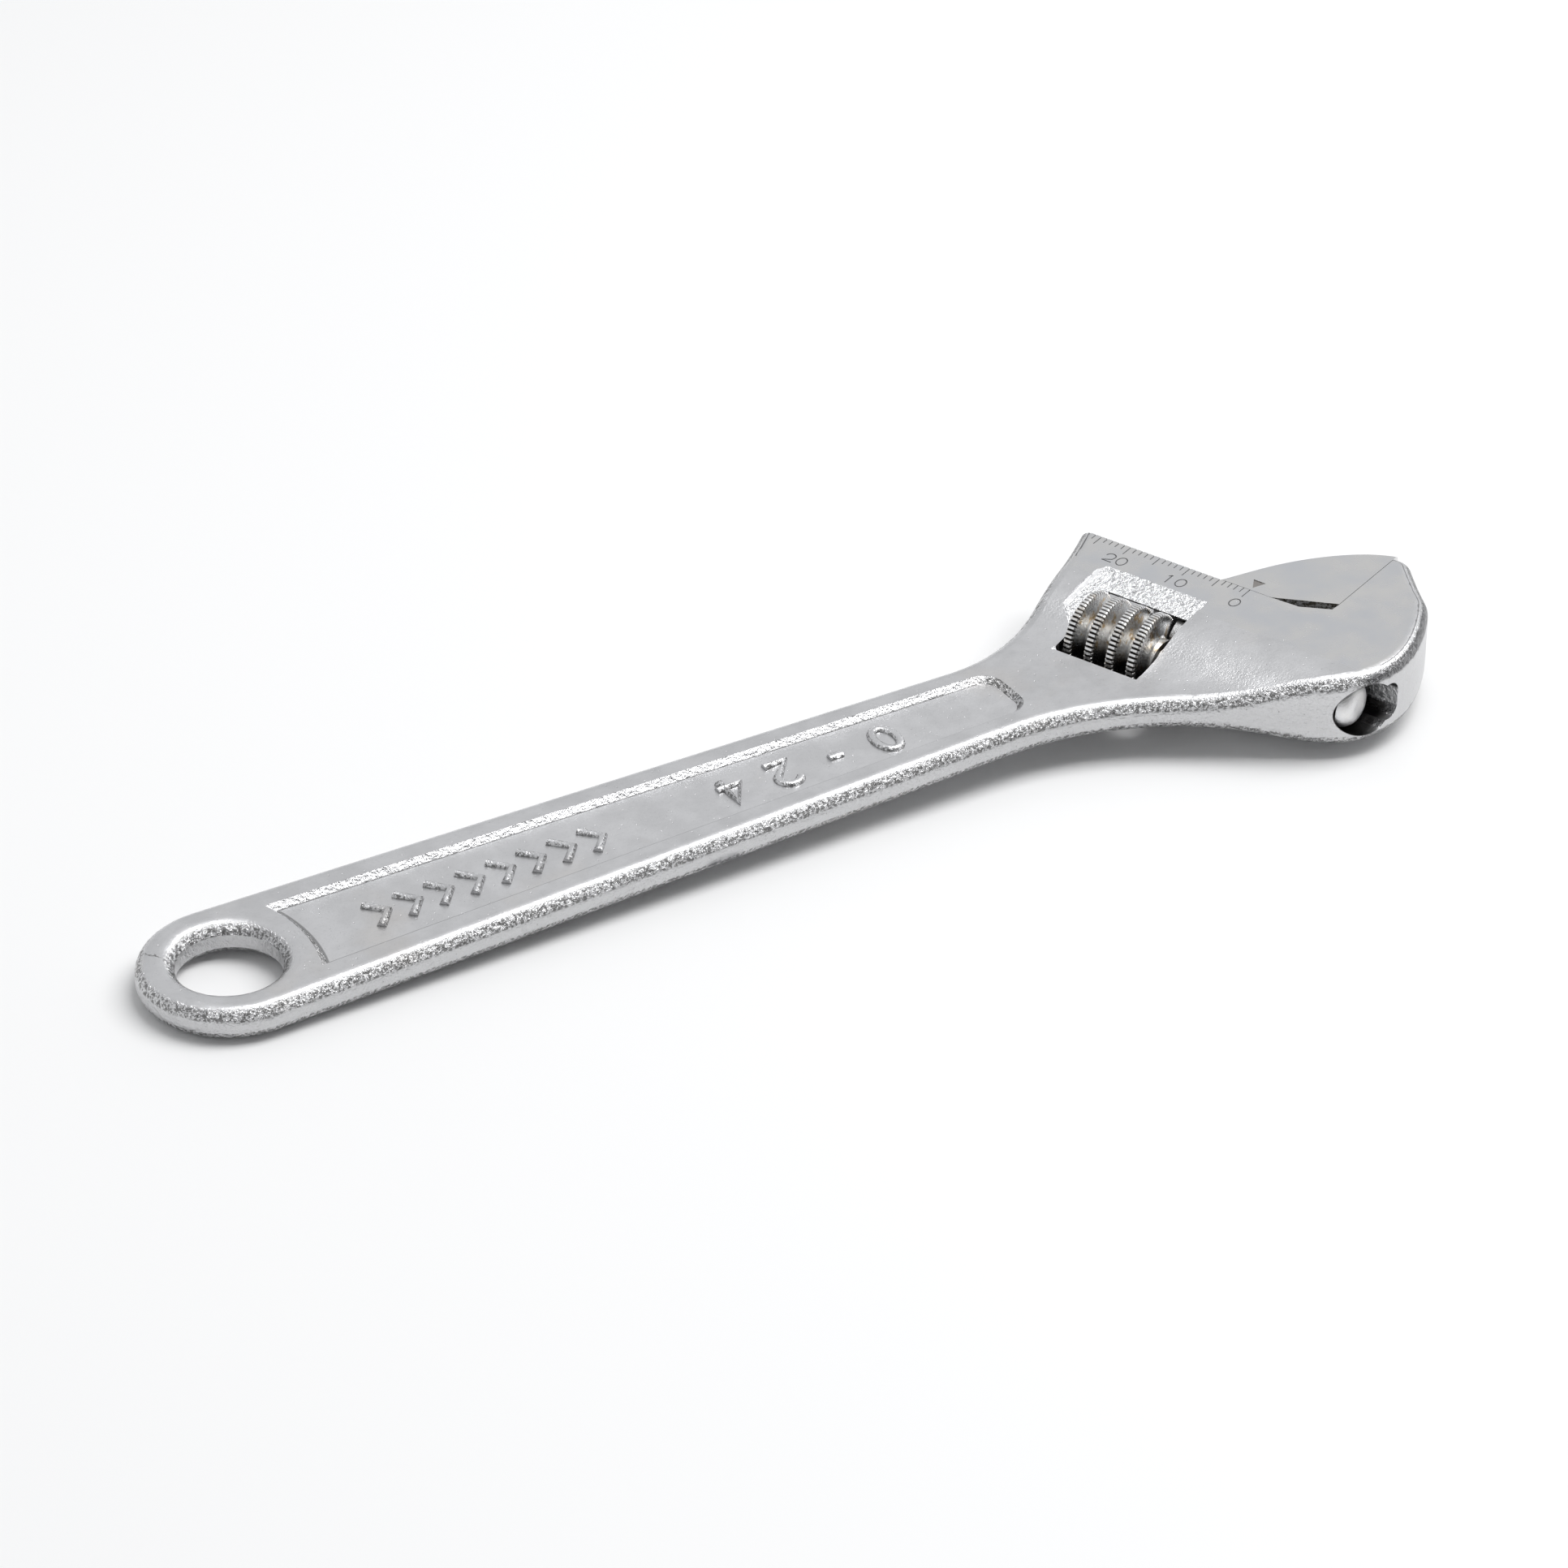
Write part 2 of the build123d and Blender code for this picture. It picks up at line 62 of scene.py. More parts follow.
# The head's own frame: reach runs along the jaw faces, opening is the way the jaw travels.
HEAD_ANGLE = math.radians(22.5)
HEAD_ORIGIN = Vector((162.75, -0.56, 0.0)) * MM
REACH = Vector((math.cos(HEAD_ANGLE), math.sin(HEAD_ANGLE), 0.0))
OPENING = Vector((-math.sin(HEAD_ANGLE), math.cos(HEAD_ANGLE), 0.0))
UP = Vector((0.0, 0.0, 1.0))

HEAD_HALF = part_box("body")[1].z / MM
ENGRAVING_FLOOR = HEAD_HALF - 0.12
PANEL_FLOOR = 1.66
RAMP_TOP_REACH = -9.5

# Heights of the window's two sloping edges: slope times place, plus a level.
HEAD_BEVEL_SLOPE = 0.279
HEAD_BEVEL_LEVEL = 7.457
SHOULDER_BEVEL_REACH_SLOPE = 0.1417
SHOULDER_BEVEL_OPENING_SLOPE = 0.211
SHOULDER_BEVEL_LEVEL = 2.415

# The keyhole channel: the reach of its bore's axis and the end of its slot.
BORE_REACH = -9.4
BORE_RADIUS = 4.1
SLOT_END_REACH = -4.15
SLOT_HALF_WIDTH = 2.95

# Foot of the panel's walls: half width at X = 0, its taper, and the curve beside the hang hole.
PANEL_FOOT_HALF = 7.34
PANEL_FOOT_TAPER = 0.0239
PANEL_END_CENTRE_X = -12.66
PANEL_END_RADIUS = 24.45
PANEL_START_X = 11.0
PANEL_END_X = 119.0

# Flaws of this forging: a lump on the neck, a dark smudge and a hairline crack by the hang hole.
LUMP_PLACE = (138.6, -14.1, 3.6)
SMUDGE_START_X = 67.5
SMUDGE_END_X = 70.5
CRACK_ACROSS = Vector((0.818, 0.576, 0.0))
CRACK_ALONG = Vector((0.576, -0.818, 0.0))
CRACK_OFFSET = 3.494

NUMBERS_X = 89.0
NUMBERS_PITCH = 8.2
CHEVRONS_X = 38.5
CHEVRONS_PITCH = 4.7
CHEVRONS = "<" * 8
MARKS_Y = -0.65
MARKS_SINK = 0.15

WORM_AXIS_REACH = -16.4
WORM_LOW = 4.0
WORM_HIGH = 16.8
WORM_ROOT = 3.7
WORM_PITCH = 3.5
WORM_CREST_AT = 6.98
WORM_CREST_HALF = 0.65
WORM_FLANK = 0.105
WORM_BORE = 1.85
WORM_POCKET = 3.1
WORM_POCKET_DEPTH = 4.1


def head_point(reach, opening, height=0.0):
    """Point in metres in the wrench's frame, from millimetres in the head's frame."""
    return HEAD_ORIGIN + (REACH * reach + OPENING * opening + UP * height) * MM


# --------------------------------------------------------------------------------------------
# Shader building


class Value:
    """A shader output that takes part in Python arithmetic."""

    def __init__(self, graph, socket):
        self.graph = graph
        self.socket = socket

    def math(self, operation, *others):
        """A Math node with this value first."""
        inputs = dict(enumerate((self,) + others))
        return self.graph.add("ShaderNodeMath", {"operation": operation}, inputs)[0]

    def __add__(self, other):
        return self.math("ADD", other)

    def __sub__(self, other):
        return self.math("SUBTRACT", other)

    def __rsub__(self, other):
        return (self * -1.0).math("ADD", other)

    def __mul__(self, other):
        return self.math("MULTIPLY", other)

    def __abs__(self):
        return self.math("ABSOLUTE")

    __radd__ = __add__
    __rmul__ = __mul__


class Graph:
    """A new material and the few ways in which its nodes are made."""

    def __init__(self, name):
        self.material = bpy.data.materials.new(name)
        self.material.use_nodes = True
        self.tree = self.material.node_tree
        self.tree.nodes.clear()

    def add(self, kind, settings, inputs):
        """A node of that kind with its settings and inputs; gives its outputs by index."""
        node = self.tree.nodes.new(kind)
        for name, setting in settings.items():
            setattr(node, name, setting)
        for key, value in inputs.items():
            if isinstance(value, Value):
                self.tree.links.new(value.socket, node.inputs[key])
            else:
                node.inputs[key].default_value = value
        return [Value(self, output) for output in node.outputs]

    def position(self):
        """Place on the piece in millimetres, as a vector."""
        where = self.add("ShaderNodeTexCoord", {}, {})[OBJECT_OUTPUT]
        return self.add("ShaderNodeVectorMath", {"operation": "SCALE"}, {0: where, 3: 1 / MM})[0]

    def facing(self):
        """1 where the surface faces straight up or down, 0 where it is upright."""
        normal = self.add("ShaderNodeTexCoord", {}, {})[NORMAL_OUTPUT]
        return abs(self.along(normal, UP))

    def along(self, position, direction, origin=Vector()):
        """Millimetres from the origin along a direction."""
        settings = {"operation": "DOT_PRODUCT"}
        dot = self.add("ShaderNodeVectorMath", settings, {0: position, 1: direction})[1]
        return dot - origin.dot(direction) / MM

    def noise(self, position, scale, detail=2.0, roughness=0.5):
        """Noise from 0 to 1; scale is in features per millimetre."""
        inputs = {
            "Vector": position,
            "Scale": scale,
            "Detail": detail,
            "Roughness": roughness,
        }
        return self.add("ShaderNodeTexNoise", {}, inputs)[0]

    def stretched(self, position, factors, turn=0.0):
        """The position turned about Z, then scaled, for grain that has a direction."""
        mapping = {"Vector": position, "Rotation": (0, 0, turn), "Scale": factors}
        return self.add("ShaderNodeMapping", {"vector_type": "POINT"}, mapping)[0]

    def pits(self, position, scale, size):
        """Mask of small scattered round pits."""
        inputs = {"Vector": position, "Scale": scale, "Randomness": 1.0}
        distance = self.add("ShaderNodeTexVoronoi", {"feature": "F1"}, inputs)[0]
        return self.ramp(distance, size, size * 0.45)

    def ramp(self, value, low, high):
        """0 at low, 1 at high, smooth between them."""
        if low > high:
            return 1.0 - self.ramp(value, high, low)
        settings = {"interpolation_type": "SMOOTHSTEP", "clamp": True}
        inputs = {0: value, 1: low, 2: high, 3: 0.0, 4: 1.0}
        return self.add("ShaderNodeMapRange", settings, inputs)[0]

    def inside(self, value, low, high, soft):
        """1 between low and high, fading to 0 over a soft margin outside them."""
        return self.ramp(value, low - soft, low) * self.ramp(value, high + soft, high)

    def blend(self, factor, first, second):
        """Mix of two colours."""
        inputs = {0: factor, 6: first, 7: second}
        return self.add("ShaderNodeMix", {"data_type": "RGBA"}, inputs)[2]

    def bump(self, height, distance, strength, normal=None):
        """Normal that follows a height, with the distance in millimetres."""
        inputs = {"Strength": strength, "Distance": distance * MM, "Height": height}
        if normal is not None:
            inputs["Normal"] = normal
        return self.add("ShaderNodeBump", {}, inputs)[0]

    def finish(self, colour, roughness, normal, metallic=1.0):
        """Closes the material with one Principled shader."""
        inputs = {
            "Base Color": colour,
            "Roughness": roughness,
            "Metallic": metallic,
            "Normal": normal,
        }
        shader = self.add("ShaderNodeBsdfPrincipled", {}, inputs)[0]
        self.add("ShaderNodeOutputMaterial", {}, {"Surface": shader})
        return self.material


def rgba(colour, factor=1.0):
    """Opaque colour, made lighter or darker by a factor."""
    return (colour[0] * factor, colour[1] * factor, colour[2] * factor, 1.0)


# --------------------------------------------------------------------------------------------
# Materials


def plated_forging_material(settings):
    """Satin plate over forged grain, with ground faces on the head, an inked scale, and painted
    shade and dark reflections on walls, edges and hollows.
    """
    g = Graph("plated_forging")
    p = g.position()
    height = g.along(p, UP)
    reach = g.along(p, REACH, HEAD_ORIGIN)
    opening = g.along(p, OPENING, HEAD_ORIGIN)
    level = abs(height)
    along = g.along(p, Vector((1, 0, 0)))
    side = g.along(p, Vector((0, 1, 0)))
    facing = g.facing()

    wander = g.noise(p, 0.35, 3.0) - 0.5
    ground = g.ramp(reach + wander * 1.6, RAMP_TOP_REACH - 0.2, RAMP_TOP_REACH + 0.5)
    ground = ground * g.ramp(level, HEAD_HALF - 0.06, HEAD_HALF - 0.03) * g.ramp(facing, 0.9, 0.99)
    head_bevel = abs(level - (reach * HEAD_BEVEL_SLOPE + HEAD_BEVEL_LEVEL))
    shoulder_slope = reach * SHOULDER_BEVEL_REACH_SLOPE + opening * SHOULDER_BEVEL_OPENING_SLOPE
    far_bevel = abs(level - (shoulder_slope + SHOULDER_BEVEL_LEVEL))
    bevel = g.ramp(head_bevel, 0.08, 0.04) * g.inside(reach, -10.7, -6.4, 0.2)
    bevel = bevel * g.inside(opening, 3, 19.7, 0.2)
    far = g.ramp(far_bevel, 0.08, 0.04) * g.inside(opening, 17, 20, 0.1)
    far = far * g.inside(reach, -25, -6.4, 0.2)
    bevel = bevel.math("MAXIMUM", far)
    # Painted shade on the upright walls inside the worm's window.
    window_wall_shade = g.inside(reach, -25.3, -5.5, 0.2) * g.inside(opening, 2.7, 17.2, 0.1)
    window_wall_shade = window_wall_shade * g.ramp(facing, 0.75, 0.4)
    # Painted shade: near black inside the keyhole bore and its slot.
    past_bore = reach - BORE_REACH
    from_bore = (past_bore * past_bore + height * height).math("SQRT")
    slot = g.inside(reach, BORE_REACH, SLOT_END_REACH, 0.05)
    slot = slot * g.ramp(level, SLOT_HALF_WIDTH + 0.02, SLOT_HALF_WIDTH - 0.02)
    keyhole_shade = g.ramp(from_bore, BORE_RADIUS + 0.1, BORE_RADIUS + 0.02).math("MAXIMUM", slot)
    keyhole_shade = keyhole_shade * g.ramp(opening, -26.6, -24.6)
    panel = g.ramp(level, PANEL_FLOOR + 0.1, PANEL_FLOOR + 0.03)
    edge = g.ramp(facing, 0.995, 0.85)
    forged = g.ramp(reach + wander * 2.0, -8.0, -11.0)
    mark_zone = g.ramp(abs(side), 5.6, 4.8) * g.inside(along, 15, 115, 1)
    from_wall = PANEL_FOOT_HALF - along * PANEL_FOOT_TAPER - abs(side)
    panel_wall = g.inside(from_wall, -1.0, 0.2, 0.1) * g.inside(along, 10, 122, 1)
    rounded = g.inside(facing, 0.35, 0.86, 0.06) * (1 - mark_zone * 0.8) * (1 - panel_wall * 0.6)
    shoulder = g.inside(facing, 0.28, 0.76, 0.12) * (1 - panel_wall)
    ink = g.ramp(abs(height - ENGRAVING_FLOOR), 0.03, 0.015) * g.ramp(reach, -6.6, -6.3)
    smudge = g.noise(g.stretched(p, (1.0, 1.0, 2.0)), 0.5, 3.0)
    smudge = g.inside(along, SMUDGE_START_X, SMUDGE_END_X, 2.0) * g.ramp(height, 0.2, -1.2) * smudge
    smudge = smudge * g.ramp(side, -8, -9) * g.ramp(facing, 0.7, 0.3)

    # Painted shade in the crease at the foot of the panel's walls, along the sides and round the
    # end by the hang hole.
    panel_crease_shade = panel * g.inside(from_wall, -0.1, 0.14, 0.12)
    panel_crease_shade = panel_crease_shade * g.inside(along, PANEL_START_X, PANEL_END_X, 1)
    past_centre = along - PANEL_END_CENTRE_X
    from_end = (past_centre * past_centre + side * side).math("SQRT") - PANEL_END_RADIUS
    panel_end_crease_shade = panel * g.inside(from_end, -0.1, 0.2, 0.2) * g.inside(from_wall, 0.1, 40, 0.2)
    panel_crease_shade = panel_crease_shade.math("MAXIMUM", panel_end_crease_shade)
    # Painted shade at the foot of the raised marks, where they meet the panel floor.
    mark_foot_shade = g.ramp(level, PANEL_FLOOR + 0.24, PANEL_FLOOR + 0.05) * g.ramp(facing, 0.97, 0.85)
    mark_foot_shade = mark_foot_shade * mark_zone
    lump = g.add("ShaderNodeVectorMath", {"operation": "DISTANCE"}, {0: p, 1: LUMP_PLACE})[1]
    lump = g.ramp(lump, 1.3, 0.2)
    across_crack = g.along(p, CRACK_ACROSS) + CRACK_OFFSET
    along_crack = g.along(p, CRACK_ALONG)
    crack = g.inside(along_crack, -11.0, -7.7, 0.3) * g.ramp(height, 0.0, 0.5)

    grain = g.noise(p, 3.2, 3.0, 0.6)
    coarse = g.noise(p, 1.3, 3.0, 0.6)
    glitter = g.noise(p, 2.0, 3.0, 0.75)
    fleck = g.noise(p, 1.9, 4.0, 0.8)
    swell = g.noise(p, 0.22, 2.0)
    crack = crack * g.ramp(abs(across_crack + (coarse - 0.5) * 2.4), 0.12, 0.06)
    pits = g.pits(p, 0.8, 0.1)
    small_pits = g.pits(p, 2.0, 0.12) * g.ramp(g.noise(p, 0.2, 2.0), 0.52, 0.64)
    lapping = g.noise(g.stretched(p, (5.0, 0.35, 1.0), -HEAD_ANGLE), 1.6, 2.0, 0.6)
    blotch = g.noise(p, 0.16, 3.0, 0.55)
    cloud = g.noise(p, 0.07, 3.0, 0.6)

    deeper = rgba(settings.plate, 0.95)
    lighter = rgba(settings.plate, 1.04)
    plate = g.blend(g.ramp(swell, 0.35, 0.65), deeper, lighter)
    plate = g.blend(g.ramp(cloud, 0.55, 0.75) * 0.5, plate, rgba((0.76, 0.73, 0.70)))
    # Painted shade: upright side walls made darker, partly also for the rougher plate there.
    plate = g.blend(g.ramp(facing, 0.45, 0.1), plate, rgba(settings.plate, 0.84))
    plate = g.blend(g.ramp(fleck, 0.48, 0.78) * 0.35, plate, rgba(settings.plate, 0.72))
    plate = g.blend((small_pits + pits * 0.6) * 0.75, plate, rgba((0.26, 0.25, 0.24)))
    # Painted reflection: dark speckles on the rounded edges, standing in for the dark surround
    # reflected there.
    dark_reflection_speckle = shoulder * g.ramp(glitter, 0.47, 0.54)
    plate = g.blend(dark_reflection_speckle * 0.85, plate, rgba((0.15, 0.148, 0.145)))
    plate = g.blend(crack * 0.8, plate, rgba((0.15, 0.145, 0.14)))
    cool = rgba((0.765, 0.775, 0.80))
    warm = rgba((0.82, 0.81, 0.795))
    polish = g.blend(g.ramp(blotch, 0.3, 0.7), cool, warm)
    colour = g.blend(ground, plate, polish)
    # Painted reflection: a dark band on the head's rounded edges, standing in for the dark surround
    # they reflect.
    colour = g.blend(shoulder * (1 - forged) * 0.7, colour, rgba((0.14, 0.14, 0.145)))
    bright = rgba((0.95, 0.955, 0.97))
    dimple = g.blend(g.ramp(glitter, 0.42, 0.6), bright, rgba((0.70, 0.70, 0.71)))
    colour = g.blend(bevel, colour, dimple)
    colour = g.blend(mark_foot_shade * 0.65, colour, rgba((0.25, 0.25, 0.25)))
    colour = g.blend(window_wall_shade * 0.8, colour, rgba((0.20, 0.19, 0.185)))
    colour = g.blend(keyhole_shade * 0.95, colour, rgba((0.05, 0.047, 0.045)))
    colour = g.blend(panel_crease_shade * 0.75, colour, rgba((0.22, 0.22, 0.22)))
    colour = g.blend(smudge * 1.4, colour, rgba((0.16, 0.16, 0.17)))
    colour = g.blend(ink, colour, rgba(settings.ink))

    roughness = 0.27 + grain * 0.10 + panel * 0.04
    roughness = roughness * (1 - ground) + ground * (0.20 + blotch * 0.14)
    roughness = roughness * (1 - rounded * 0.35)
    roughness = roughness * (1 - bevel) + bevel * 0.24
    roughness = roughness + ink * 0.3

    normal = g.bump(swell, 0.35, 0.3)
    relief = (grain - 0.5) * 0.6 + (coarse - 0.5) * edge
    depth = relief * (1 - ground) * (0.35 + edge * 1.5) + lapping * ground * 0.06
    depth = depth + rounded * forged * ((glitter - 0.5) * 2.2 + (coarse - 0.5) * 1.2)
    depth = depth + bevel * ((coarse - 0.5) * 4.5 + (glitter - 0.5) * 2.5)
    depth = depth - pits * 0.3 * (1 - ground) - small_pits * 0.4
    depth = depth + lump * 5.0
    normal = g.bump(depth, 0.12, 0.9, normal)
    return g.finish(colour, roughness, normal)


def jaw_material(settings):
    """Ground faces on the jaw, forged back edge, dark relief and an inked pointer."""
    g = Graph("plated_jaw")
    p = g.position()
    height = g.along(p, UP)
    facing = g.facing()
    reach = g.along(p, REACH, HEAD_ORIGIN)
    ground = g.ramp(facing, 0.9, 0.99) * g.ramp(abs(height), HEAD_HALF - 0.06, HEAD_HALF - 0.03)
    ink = g.ramp(abs(height - ENGRAVING_FLOOR), 0.03, 0.015) * g.ramp(reach, 0.4, 0.6)
    ink = ink * g.ramp(facing, 0.9, 0.99)
    opening = g.along(p, OPENING, HEAD_ORIGIN)
    rough_wall = g.inside(reach, 0.0, 4.4, 0.2) * g.ramp(facing, 0.6, 0.3)
    rough_wall = rough_wall * g.ramp(opening, 4.0, 3.0)

    grain = g.noise(p, 5.5, 3.0, 0.6)
    coarse = g.noise(p, 1.9, 3.0, 0.65)
    blotch = g.noise(p, 0.16, 3.0, 0.55)
    lapping = g.noise(g.stretched(p, (5.0, 0.35, 1.0), -HEAD_ANGLE), 1.6, 2.0, 0.6)

    colour = g.blend(g.ramp(blotch, 0.3, 0.7), rgba((0.77, 0.78, 0.805)), rgba((0.82, 0.81, 0.795)))
    colour = g.blend(rough_wall * g.ramp(coarse, 0.55, 0.42), colour, rgba((0.22, 0.20, 0.16)))
    colour = g.blend(ink, colour, rgba((0.30, 0.285, 0.275)))
    roughness = (0.34 + grain * 0.12) * (1 - ground) + ground * (0.18 + blotch * 0.16) + ink * 0.3
    depth = grain * (1 - ground) * 0.8 + lapping * ground * 0.07 + rough_wall * coarse * 2.0
    return g.finish(colour, roughness, g.bump(depth, 0.11, 0.8))


def worm_material(settings):
    """Bright plate on the knurl, painted shade in its notches and on its lower side, oil and wear
    stains down in the thread.
    """
    g = Graph("knurled_steel")
    p = g.position()
    centre = head_point(WORM_AXIS_REACH, 0)
    across = g.along(p, REACH, centre)
    height = g.along(p, UP)
    radius = (across * across + height * height).math("SQRT")
    crest = g.ramp(radius, 6.3, 6.62)
    phase = height.math("ARCTAN2", across) * (settings.knurls / math.tau)
    notch_shade = g.ramp(abs(phase - phase.math("ROUND")), 0.3, 0.14) * crest
    deep = g.ramp(radius, 5.8, 4.4)
    root = g.ramp(radius, 3.95, 3.8)
    patch = g.noise(p, 0.45, 3.0, 0.6)
    grain = g.noise(p, 4.0, 3.0, 0.6)
    drag = g.noise(p, 1.1, 4.0, 0.65)
    oil = g.ramp(patch, 0.49, 0.60) * g.ramp(drag, 0.42, 0.58) * (1 - crest * 0.7)
    colour = g.blend(crest, rgba((0.66, 0.665, 0.67)), rgba((0.95, 0.95, 0.95)))
    colour = g.blend(root, colour, rgba((0.90, 0.89, 0.86)))
    colour = g.blend(oil * 0.8, colour, rgba(settings.oil))
    colour = g.blend(deep * g.ramp(drag, 0.52, 0.62) * 0.4, colour, rgba((0.12, 0.11, 0.10)))
    # Painted shade: the worm darker towards its lower side, where the window's wall shades it.
    low_side_shade = g.ramp(height, 3.4, 0.6) * (1 - crest)
    colour = g.blend(low_side_shade * 0.85, colour, rgba((0.03, 0.03, 0.03)))
    # Painted shade down in the knurl notches.
    colour = g.blend(notch_shade * 0.9, colour, rgba((0.13, 0.12, 0.11)))
    roughness = 0.20 + grain * 0.12 + deep * 0.05
    normal = g.bump(grain + drag * 1.6, 0.06, 0.7)
    return g.finish(colour, roughness, normal)


def plain_steel_material(name, tone):
    """Drawn or turned steel for the pin and the spring, with fine lines and light oil."""
    g = Graph(name)
    p = g.position()
    turned = g.noise(g.stretched(p, (0.6, 6.0, 0.6), -HEAD_ANGLE), 1.5, 3.0, 0.6)
    patch = g.noise(p, 0.7, 3.0)
    colour = g.blend(g.ramp(patch, 0.4, 0.65), rgba(tone), rgba(tone, 0.75))
    roughness = 0.28 + turned * 0.14
    return g.finish(colour, roughness, g.bump(turned, 0.04, 0.5))


def floor_material(settings):
    """Pale, nearly smooth studio sheet."""
    g = Graph("studio_sheet")
    p = g.position()
    tone = g.noise(p, 0.004, 2.0)
    colour = g.blend(tone, rgba(settings.floor), rgba(settings.floor, 0.99))
    return g.finish(colour, 0.85, g.bump(g.noise(p, 0.5, 2.0), 0.02, 0.2), 0.0)


# --------------------------------------------------------------------------------------------
# Mesh pieces


def new_object(name, bm):
    """Object made from a bmesh, which it frees."""
    mesh = bpy.data.meshes.new(name)
    bm.to_mesh(mesh)
    bm.free()
    piece = bpy.data.objects.new(name, mesh)
    bpy.context.scene.collection.objects.link(piece)
    return piece


def set_material(piece, material):
    """Gives a piece that one material."""
    piece.data.materials.clear()
    piece.data.materials.append(material)


def head_matrix(reach, opening):
    """Places a mesh made in the head's frame, in millimetres, with Y along the opening."""
    turn = Matrix.Rotation(HEAD_ANGLE, 4, "Z")
    return Matrix.Translation(head_point(reach, opening)) @ turn @ Matrix.Scale(MM, 4)


def thread_profile(radius):
    """Half section of one turn of thread from valley to valley, as (along, radius) pairs."""
    root_half = WORM_CREST_HALF + (radius - WORM_ROOT) * WORM_FLANK
    softened = 0.14
    rise = [
        (-WORM_PITCH / 2, WORM_ROOT),
        (-root_half - 0.25, WORM_ROOT),
        (-root_half, WORM_ROOT + 0.3),
        (-WORM_CREST_HALF - 0.02, radius - softened),
        (-WORM_CREST_HALF + softened, radius),
    ]
    return rise + [(-along, height) for along, height in reversed(rise)]


def cut_knurl(bm, radius, settings):
    """Pulls in one row of crest points in every knurl, which leaves straight notches."""
    for vert in bm.verts:
        across = math.hypot(vert.co.x, vert.co.z)
        if across < radius - 0.2:
            continue
        phase = math.atan2(vert.co.z, vert.co.x) * settings.knurls / math.tau
        if abs(phase - round(phase)) < 0.1:
            scale = (across - settings.knurl_depth / MM) / across
            vert.co.x *= scale
            vert.co.z *= scale


def cut_end(bm, along, outward):
    """Cuts the worm square at one end and gives the rim that the cut leaves."""
    result = bmesh.ops.bisect_plane(
        bm,
        geom=bm.verts[:] + bm.edges[:] + bm.faces[:],
        dist=1e-5,
        plane_co=(0, along, 0),
        plane_no=(0, outward, 0),
        clear_outer=True,
    )
    return [item for item in result["geom_cut"] if isinstance(item, bmesh.types.BMEdge)]


def make_worm(settings):
    """Knurled worm: one screwed section, cut square, with its bore and spring pocket."""
    steps = settings.knurls * 4
    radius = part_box("adjusting_worm")[1].z / MM
    bm = bmesh.new()
    turns = 6
    start = WORM_CREST_AT - 2 * WORM_PITCH
    row = [bm.verts.new((across, start + along, 0)) for along, across in thread_profile(radius)]
    edges = [bm.edges.new(pair) for pair in zip(row, row[1:])]
    bmesh.ops.spin(
        bm,
        geom=row + edges,
        cent=(0, 0, 0),
        axis=(0, 1, 0),
        dvec=(0, WORM_PITCH / steps, 0),
        angle=math.tau * turns,
        steps=steps * turns,
    )
    bmesh.ops.remove_doubles(bm, verts=bm.verts, dist=0.002)
    cut_knurl(bm, radius, settings)
    rims = [cut_end(bm, WORM_LOW, -1), cut_end(bm, WORM_HIGH, 1)]
    floor = WORM_LOW + WORM_POCKET_DEPTH
    bore = [
        (WORM_POCKET, WORM_LOW),
        (WORM_POCKET, floor),
        (WORM_BORE, floor),
        (WORM_BORE, WORM_HIGH),
    ]
    inner = [bm.verts.new((across, along, 0)) for across, along in bore]
    inner_edges = [bm.edges.new(pair) for pair in zip(inner, inner[1:])]
    bmesh.ops.spin(
        bm,
        geom=inner + inner_edges,
        cent=(0, 0, 0),
        axis=(0, 1, 0),
        angle=math.tau,
        steps=96,
        use_merge=True,
    )
    bmesh.ops.remove_doubles(bm, verts=bm.verts, dist=0.0005)
    for along in (WORM_LOW, WORM_HIGH):
        rim = [
            edge
            for edge in bm.edges
            if edge.is_boundary and all(abs(vert.co.y - along) < 1e-4 for vert in edge.verts)
        ]
        bmesh.ops.bridge_loops(bm, edges=rim)
    bmesh.ops.recalc_face_normals(bm, faces=bm.faces)
    bm.transform(head_matrix(WORM_AXIS_REACH, 0))
    for face in bm.faces:
        face.smooth = True
    worm = new_object("knurled_worm", bm)
    worm.data.set_sharp_from_angle(angle=math.radians(28))
    return worm


def arc_points(centre_x, centre_y, radius_x, radius_y, start, end, count):
    """Points along part of an ellipse, with the angles in degrees."""
    angles = [math.radians(start + (end - start) * step / count) for step in range(count + 1)]
    return [(centre_x + radius_x * math.cos(a), centre_y + radius_y * math.sin(a)) for a in angles]


def mark_strokes(mark):
    """Centre lines of one raised mark, one unit tall and centred, each as (points, closed)."""
    if mark == "0":
        return [(arc_points(0, 0, 0.27, 0.44, 0, 337.5, 15), True)]
    if mark == "-":
        return [([(-0.17, 0), (0.17, 0)], False)]
    if mark == "2":
        cap = arc_points(0, 0.19, 0.26, 0.25, 160, -30, 10)
        return [(cap + [(-0.27, -0.44), (0.28, -0.44)], False)]
    if mark == "4":
        return [([(0.12, -0.44), (0.12, 0.44), (-0.29, -0.2), (0.3, -0.2)], False)]
    return [([(0.2, -0.44), (-0.2, 0), (0.2, 0.44)], False)]


